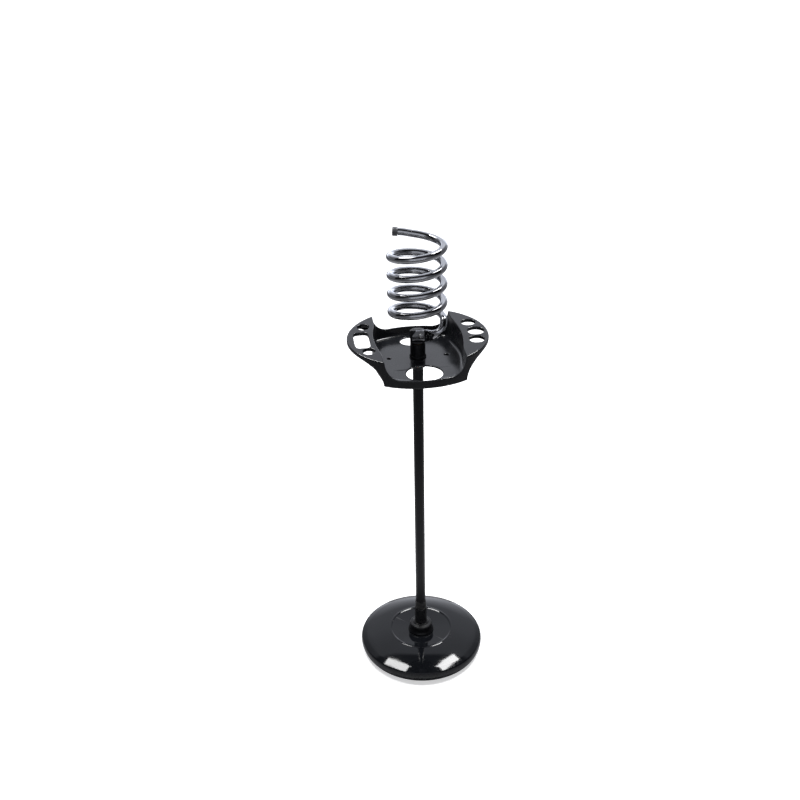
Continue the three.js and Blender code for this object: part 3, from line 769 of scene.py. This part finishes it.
def tray_field(x, y, h):
    """The moulded tray: negative inside the plastic. Heights are above the basin's floor."""
    side = np.abs(x)
    rim = oval_field(x, y, 0, 0, 143, 117)
    s = np.minimum(1, np.abs(y) / 85)
    half = 79 + 10 * (1 - s * s) ** 2
    wing_top = 46 + 0.11 * y
    body = smax(rim, (h - wing_top) * 0.994, 2.4)
    body = smax(body, (-10.5 + 0.0558 * y - h) * 0.998, 1.6)
    # the wall sweeps out to the wing's thin edge, as a skin along the outline
    start = half + 3.0
    p = np.maximum(0, start + 50 - side) / 50
    reach = np.maximum(wing_top - 7 + 17, 10)
    q = np.maximum(0, h + 17) / reach
    level = np.sqrt(p * p + q * q) + 1e-9
    slope = np.sqrt((p / 50) ** 2 + (q / reach) ** 2) / level
    sweep = np.maximum((level - 1) / np.maximum(slope, 1e-4), start - side)
    body = smax(body, -sweep, 1.4)
    hollow = smax(smax(start - side, h - wing_top + 7, 3.0), rim + 3.0, 3.0)
    body = smax(body, -hollow, 1.2)
    inner = rim + 3.0
    basin = smax(smax(side - half, -h, 9.0), inner, 7.0)
    body = smax(body, -basin, 2.0)
    under = smax(smax(side - half, h + 3.5, 3.0), inner, 3.0)
    boss = np.hypot(x, y) - 19
    boss = np.minimum(boss, np.maximum(np.hypot(side - 59, y) - 8, -h - 9.3))
    boss = np.maximum(boss, h + 2.0)
    turn = math.radians(38)
    across = np.abs(-side * math.sin(turn) + np.abs(y) * math.cos(turn)) - 1.1
    ribs = np.maximum(np.maximum(across, -h - 9.5), h + 2.0)
    under = smax(under, -smin(boss, ribs, 1.5), 1.5)
    body = smax(body, -np.maximum(under, -h - 60), 1.2)
    foot = smax(np.hypot(x, y) - 19, -h - 14.6, 0.8)
    body = smin(body, smax(foot, h + 1.0, 0.5), 1.2)
    # rim lines of the open front and of the low rear wall
    for sign, flat, rise, low in ((-1, 50, 35, 0.0), (1, 45, 37, 20.0)):
        p = np.maximum(0, side - flat) / (80.0 - flat)
        q = np.maximum(0, low + rise - h) / rise
        level = np.sqrt(p * p + q * q) + 1e-9
        slope = np.sqrt((p / (80.0 - flat)) ** 2 + (q / rise) ** 2) / level
        gap = np.maximum((level - 1) / np.maximum(slope, 1e-4), 60 - sign * y)
        body = smax(body, -gap, 1.8)
    for cx, cy, rx, ry, power in (
        (-104, 52, 12.5, 12.5, 2), (-104, -48, 12.5, 12.5, 2), (-113, -2, 15.5, 31.5, 4.5),
        (111, 40, 15, 12.5, 2), (119, 3, 17, 15.5, 2), (114, -31, 15.5, 14, 2),
        (0, 82, 24.5, 23, 2), (-59, 0, 4.4, 4.4, 2), (59, 0, 4.4, 4.4, 2),
    ):
        body = smax(body, -oval_field(x, y, cx, cy, rx, ry, float(power)), 1.0)
    mouth = np.maximum(oval_field(x, y, 0, -80.5, 36, 36), inner)
    body = smax(body, -mouth, 1.2)
    return smax(body, 8.1 - np.hypot(x, y), 0.5)


def tray():
    points, faces = surface_net(tray_field, (-144.5, -118.5, -21), (144.5, 118.5, 61), TRAY_STEP)
    points[:, 2] += TRAY_Z
    new_object("tray_moulding", points, faces, "tray", TRAY, ["tray"], 0)


# ---------------------------------------------------------------- spiral holder
def spiral_points():
    """Centre line from the top end, down the coil, to the flattened end on the swivel head."""
    points = [(x, COIL_R, z) for x, z in ((-37, 984.7), (-30, 984.2), (-20, 982.6), (-10, 980.5))]
    for deg, z in ((87, 978.2), (66, 974.8), (44, 972.0), (22, 970.4)):
        t = math.radians(deg)
        points.append((COIL_R * math.cos(t), COIL_R * math.sin(t), z))
    steps = COIL_TURNS * 24
    for i in range(steps + 1):
        t = -2 * math.pi * COIL_TURNS * i / steps
        z = COIL_START - COIL_PITCH * COIL_TURNS * i / steps
        points.append((COIL_R * math.cos(t), COIL_R * math.sin(t), z))
    tail = [
        (51, -9.5, 811.6), (47.2, -16, 803.8), (41, -19, 798.2), (33.5, -18.2, 794), (27, -15.2, 791.2),
        (20.5, -9.4, 788.6), (14, -5.9, 787.4), (7, -5.2, 786.7), (0, -5.2, TAB_Z), (-10.4, -5.2, TAB_Z),
    ]
    return np.array(points + tail, float), len(points)


def smooth_path(points, per):
    """A Catmull-Rom curve through the points, per steps to each span."""
    ext = np.vstack([2 * points[0] - points[1], points, 2 * points[-1] - points[-2]])
    out = []
    for i in range(1, len(ext) - 2):
        p0, p1, p2, p3 = ext[i - 1:i + 3]
        for k in range(per):
            t = k / per
            out.append(0.5 * (2 * p1 + (p2 - p0) * t + (2 * p0 - 5 * p1 + 4 * p2 - p3) * t * t
                              + (3 * p1 - p0 - 3 * p2 + p3) * t ** 3))
    out.append(ext[-2])
    return np.array(out)


def turned_about_z(points, angle):
    c, s = math.cos(angle), math.sin(angle)
    x, y, z = np.asarray(points, float).T
    return np.stack([c * x - s * y, s * x + c * y, z], 1)


def spiral_tube():
    """Chrome tube, open at its top end, pressed flat where it meets the swivel head."""
    points, coil_end = spiral_points()
    per, sides = 4, 40
    path = smooth_path(points, per)
    flat_from, flat_to = (coil_end + 1.0) * per, (len(points) - 4.0) * per
    outer, inner = [], []
    for i in range(len(path)):
        a, b = path[max(i - 1, 0)], path[min(i + 1, len(path) - 1)]
        tangent = (b - a) / np.linalg.norm(b - a)
        across = np.cross(tangent, (0, 0, 1))
        across /= np.linalg.norm(across)
        up = np.cross(across, tangent)
        f = min(max((i - flat_from) / (flat_to - flat_from), 0), 1)
        f = f * f * (3 - 2 * f)
        wide = TUBE_R + (FLAT_HALF_WIDTH - TUBE_R) * f
        tall = TUBE_R + (FLAT_HALF_HEIGHT - TUBE_R) * f
        boxy = 1 - 0.78 * f
        for j in range(sides):
            t = 2 * math.pi * (j + 0.5) / sides
            c, s = math.cos(t), math.sin(t)
            c = math.copysign(abs(c) ** boxy, c)
            outer.append(path[i] + across * (wide * c) + up * (tall * s))
            if f == 0:
                inner.append(path[i] + TUBE_BORE_R * (across * math.cos(t) + up * math.sin(t)))
    rings, rings_in = len(outer) // sides, len(inner) // sides
    verts = outer + inner
    faces = []
    base = len(outer)
    for start, count, flip in ((0, rings, False), (base, rings_in, True)):
        for i in range(count - 1):
            for j in range(sides):
                k = (j + 1) % sides
                p = start + i * sides
                quad = (p + j, p + k, p + sides + k, p + sides + j)
                faces.append(quad[::-1] if flip else quad)
        last = start + (count - 1) * sides
        verts.append(np.mean(verts[last:last + sides], axis=0))
        for j in range(sides):
            k = (j + 1) % sides
            tri = (last + j, last + k, len(verts) - 1)
            faces.append(tri[::-1] if flip else tri)
    for j in range(sides):
        k = (j + 1) % sides
        faces.append((k, j, base + j, base + k))
    verts = np.array(verts)
    if signed_volume(verts, faces) < 0:
        faces = [f[::-1] for f in faces]
    return verts, faces


def cutter(name, verts, faces):
    mesh = bpy.data.meshes.new(name)
    mesh.from_pydata([tuple(v) for v in np.asarray(verts, float) * MM], [], faces)
    obj = bpy.data.objects.new(name, mesh)
    bpy.context.scene.collection.objects.link(obj)
    return obj


def cut_with(obj, tools):
    """Cuts tools away from obj, applies the cuts and removes the tools."""
    for tool in tools:
        mod = obj.modifiers.new("cut", "BOOLEAN")
        mod.operation = "DIFFERENCE"
        mod.solver = "EXACT"
        mod.object = tool
    bpy.context.view_layer.update()
    mesh = bpy.data.meshes.new_from_object(obj.evaluated_get(bpy.context.evaluated_depsgraph_get()))
    obj.modifiers.clear()
    obj.data = mesh
    for tool in tools:
        bpy.data.objects.remove(tool)


def block(name, x, y, z):
    corners = [(a, b, c) for a in x for b in y for c in z]
    faces = [(0, 1, 3, 2), (4, 6, 7, 5), (0, 4, 5, 1), (2, 3, 7, 6), (0, 2, 6, 4), (1, 5, 7, 3)]
    return cutter(name, turned_about_z(corners, SPIRAL_TURN), faces)


def corner_cutter():
    """Cuts the slanted corner off the flattened end."""
    rise = ((-16, 9.6), (-10.7, 0.2), (-2.0, 12.4), (-2.0, 20), (-16, 20))
    outline = [(x, TAB_Z + h) for x, h in rise]
    verts = [(x, y, z) for y in (-12, 4) for x, z in outline]
    n = len(outline)
    faces = [tuple(range(n)), tuple(range(2 * n - 1, n - 1, -1))]
    faces += [(i, i + n, (i + 1) % n + n, (i + 1) % n) for i in range(n)]
    verts = np.array(verts, float)
    if signed_volume(verts, faces) < 0:
        faces = [f[::-1] for f in faces]
    return cutter("corner_cut", turned_about_z(verts, SPIRAL_TURN), faces)


def bore_cutter(x, z):
    """A rod along Y for the clamp screw's clearance."""
    verts, faces = lathe_mesh([(0, -20, 0), (2.6, -20, 0), (2.6, 6, 0), (0, 6, 0)], 40)
    rot = Matrix.Rotation(math.pi / 2, 3, "Z") @ Matrix.Rotation(math.pi / 2, 3, "Y")
    verts = verts @ np.array(rot).T + np.array((x, 0, z))
    return cutter("bore_cut", turned_about_z(verts, SPIRAL_TURN), faces)


def bevelled(obj, width=0.5):
    mod = obj.modifiers.new("bevel", "BEVEL")
    mod.width = width * MM
    mod.segments = 3
    mod.limit_method = "ANGLE"
    mod.angle_limit = math.radians(35)


def spiral():
    """The chrome tube, the black block it is screwed to, its end plug and the clamp screw."""
    screw = (6.0, 0.0, TAB_Z + 0.5)
    verts, faces = spiral_tube()
    verts = turned_about_z(verts, SPIRAL_TURN)
    tube = new_object("spiral_tube", verts, faces, "spiral", CHROME, ["spiral_coil"])
    cut_with(tube, [corner_cutter(), bore_cutter(screw[0], screw[2])])
    bevelled(tube)
    low, top = HUB_TOP + 1.6, TAB_Z + 9.5
    head = [
        (0, 755.6, 0), (6.04, 755.6, 0.7), (6.04, low, 0.1), (HUB_R, low, 0.6), (HUB_R, top, 1.6),
        (0, top, 0),
    ]
    verts, faces = lathe_mesh(head, 96, 5)
    verts = turned_about_z(verts, SPIRAL_TURN)
    swivel = new_object("swivel_block", verts, faces, "spiral", FITTING, ["swivel_head"])
    flat = block("flat_cut", (-30, 30), (-30, -2.7), (HUB_TOP + 4, 830))
    cut_with(swivel, [flat, bore_cutter(screw[0], screw[2])])
    bevelled(swivel)
    end_cap()
    rot = Matrix.Rotation(SPIRAL_TURN + math.pi / 2, 4, "Z") @ Matrix.Rotation(math.pi / 2, 4, "Y")
    at = turned_about_z([screw], SPIRAL_TURN)[0]
    pan_screw("clamp_screw", "tab_screw", "spiral", 5.0, -11.0, -7.7, 2.3, 5.2, (rot, tuple(at)))


def end_cap():
    """The plug in the tube's open upper end."""
    points, _ = spiral_points()
    path = smooth_path(points, 4)
    tangent = Vector(path[0] - path[1]).normalized()
    rot = Matrix.Rotation(SPIRAL_TURN, 4, "Z") @ tangent.to_track_quat("Z", "Y").to_matrix().to_4x4()
    corners = [
        (0, -9, 0), (5.3, -9, 0.8), (5.3, 0.2, 0.1), (8.6, 0.2, 0.5), (9.0, 1.2, 0.6), (9.0, 9.2, 1.4),
        (7.8, 10.8, 1.4), (0, 11.0, 0),
    ]
    at = turned_about_z([path[0]], SPIRAL_TURN)[0]
    turned("tube_end_plug", corners, "spiral", CAP, ["coil_end_cap"], 72,
           (rot, tuple(at)), steps=5)


# ---------------------------------------------------------------- stage
def floor():
    """Pale paper. Mirrors see it darker to the front and the sides, as in a shaded studio."""
    mesh = bpy.data.meshes.new("floor")
    r = 30.0
    mesh.from_pydata([(-r, -r, 0), (r, -r, 0), (r, r, 0), (-r, r, 0)], [], [(0, 1, 2, 3)])
    obj = bpy.data.objects.new("floor", mesh)
    bpy.context.scene.collection.objects.link(obj)
    m = Nodes("floor_paper")
    m.fixed(Roughness=0.8, Specular_IOR_Level=0.15)
    away = m.add("ShaderNodeVectorMath", operation="LENGTH")
    m.link(m.place, away.inputs[0])
    path = m.add("ShaderNodeLightPath")
    wide = m.span(m.maths("ABSOLUTE", m.along(ASIDE), 0.0), 0.25, 0.8, 1.0, 0.06)
    lit = m.maths("MULTIPLY", m.span(m.along(REAR), -1.1, 0.4, 0.0, 1.0), wide)
    shade = m.blend(lit, (0.27, 0.27, 0.275), (0.7, 0.7, 0.72))
    paper = m.blend(m.span(m.noise(3, 4), 0.3, 0.7, 0.0, 1.0), (0.8, 0.8, 0.805), (0.83, 0.83, 0.835))
    m.colour(m.blend(path.outputs["Is Glossy Ray"], paper, shade))
    fade = m.span(away.outputs["Value"], 0.15, 1.3, 0.55, 0.9)
    m.shader.inputs["Emission Color"].default_value = (1, 1, 1, 1)
    m.link(m.maths("MULTIPLY", fade, path.outputs["Is Camera Ray"]), m.shader.inputs["Emission Strength"])
    m.bump([(m.noise(260, 5), 0.08, 0.0004)])
    obj.data.materials.append(m.material)


def soft_light(name, place, turn, size, power):
    """An oblong light facing straight down, its long side turned from +X."""
    data = bpy.data.lights.new(name, "AREA")
    data.shape = "RECTANGLE"
    data.size, data.size_y = size
    data.energy = power
    obj = bpy.data.objects.new(name, data)
    obj.location = place
    obj.rotation_euler = (0, 0, math.radians(turn))
    bpy.context.scene.collection.objects.link(obj)
    return obj


def studio():
    """A pale wall behind, a dim room in front, a dark ceiling and two soft boxes overhead."""
    world = bpy.data.worlds.new("studio")
    bpy.context.scene.world = world
    world.use_nodes = True
    tree = world.node_tree
    back = tree.nodes["Background"]

    def node(kind, **settings):
        made = tree.nodes.new(kind)
        for key, value in settings.items():
            setattr(made, key, value)
        return made

    def ramp(stops):
        made = node("ShaderNodeValToRGB")
        while len(made.color_ramp.elements) < len(stops):
            made.color_ramp.elements.new(0.5)
        for element, (at, level) in zip(made.color_ramp.elements, stops):
            element.position = at
            element.color = (level * 0.985, level, level * 1.045, 1)
        return made

    place = node("ShaderNodeTexCoord")

    def along(direction):
        made = node("ShaderNodeVectorMath", operation="DOT_PRODUCT")
        made.inputs[1].default_value = direction
        tree.links.new(place.outputs["Generated"], made.inputs[0])
        return made.outputs["Value"]

    split = node("ShaderNodeSeparateXYZ")
    tree.links.new(place.outputs["Generated"], split.inputs["Vector"])
    turn = node("ShaderNodeMath", operation="ARCTAN2")
    tree.links.new(split.outputs["Z"], turn.inputs[0])
    tree.links.new(along(REAR), turn.inputs[1])
    part = node("ShaderNodeMath", operation="DIVIDE")
    tree.links.new(turn.outputs["Value"], part.inputs[0])
    part.inputs[1].default_value = math.pi
    sweep = ramp(WALL_SWEEP)
    tree.links.new(part.outputs["Value"], sweep.inputs["Fac"])
    size = node("ShaderNodeMath", operation="ABSOLUTE")
    tree.links.new(along(ASIDE), size.inputs[0])
    dim = ramp(SIDE_FALL)
    tree.links.new(size.outputs["Value"], dim.inputs["Fac"])
    both = node("ShaderNodeVectorMath", operation="MULTIPLY")
    tree.links.new(sweep.outputs["Color"], both.inputs[0])
    tree.links.new(dim.outputs["Color"], both.inputs[1])
    path = node("ShaderNodeLightPath")
    mix = node("ShaderNodeMix", data_type="RGBA")
    tree.links.new(path.outputs["Is Camera Ray"], mix.inputs["Factor"])
    tree.links.new(both.outputs["Vector"], mix.inputs[6])
    mix.inputs[7].default_value = (0.95, 0.95, 0.955, 1)
    tree.links.new(mix.outputs[2], back.inputs["Color"])
    back.inputs["Strength"].default_value = 1.0
    boxes = [
        soft_light("soft_box_left", BOX_LEFT, 135, BOX_SIZE, 36),
        soft_light("soft_box_right", BOX_RIGHT, 40, BOX_SIZE, 44),
    ]
    panels = [
        soft_light("panel_left", BOX_LEFT, 135, PANEL_SIZE, 9),
        soft_light("panel_right", BOX_RIGHT, 40, PANEL_SIZE, 9),
    ]
    return boxes, panels


def share_light(boxes, panels):
    """The bright boxes serve the black parts and the floor; the dim panels serve the chrome."""
    shiny = bpy.data.collections.new("shiny_parts")
    plain = bpy.data.collections.new("plain_parts")
    for obj in bpy.context.scene.objects:
        if obj.type == "MESH":
            chromed = CHROME.name in [m.name for m in obj.data.materials if m]
            (shiny if chromed else plain).objects.link(obj)
    for lamp in boxes:
        lamp.light_linking.receiver_collection = plain
    for lamp in panels:
        lamp.light_linking.receiver_collection = shiny


def camera():
    """The camera's place and turn about the object, in the row frame."""
    yaw, pitch, roll = math.radians(9.1 - 3.86), math.radians(26.36), math.radians(2.37)
    along = Vector((math.sin(yaw) * math.cos(pitch), math.cos(yaw) * math.cos(pitch), -math.sin(pitch)))
    right = along.cross(Vector((0, 0, 1))).normalized()
    down = along.cross(right)
    c, s = math.cos(roll), math.sin(roll)
    right, down = c * right + s * down, c * down - s * right
    data = bpy.data.cameras.new("camera")
    data.sensor_width = 36.0
    data.lens = 43.14
    data.shift_x, data.shift_y = 0.0495, -0.0026
    data.clip_start, data.clip_end = 0.05, 60
    obj = bpy.data.objects.new("camera", data)
    turn = Matrix((right, -down, -along)).transposed().to_4x4()
    obj.matrix_world = Matrix.Translation((-0.2815, -1.7574, 1.5306)) @ turn
    bpy.context.scene.collection.objects.link(obj)
    bpy.context.scene.camera = obj


camera()
floor()
lamps = studio()
base_cover()
base_inside()
post()
hub()
tray()
spiral()
share_light(*lamps)
bpy.context.scene.view_settings.view_transform = "Standard"
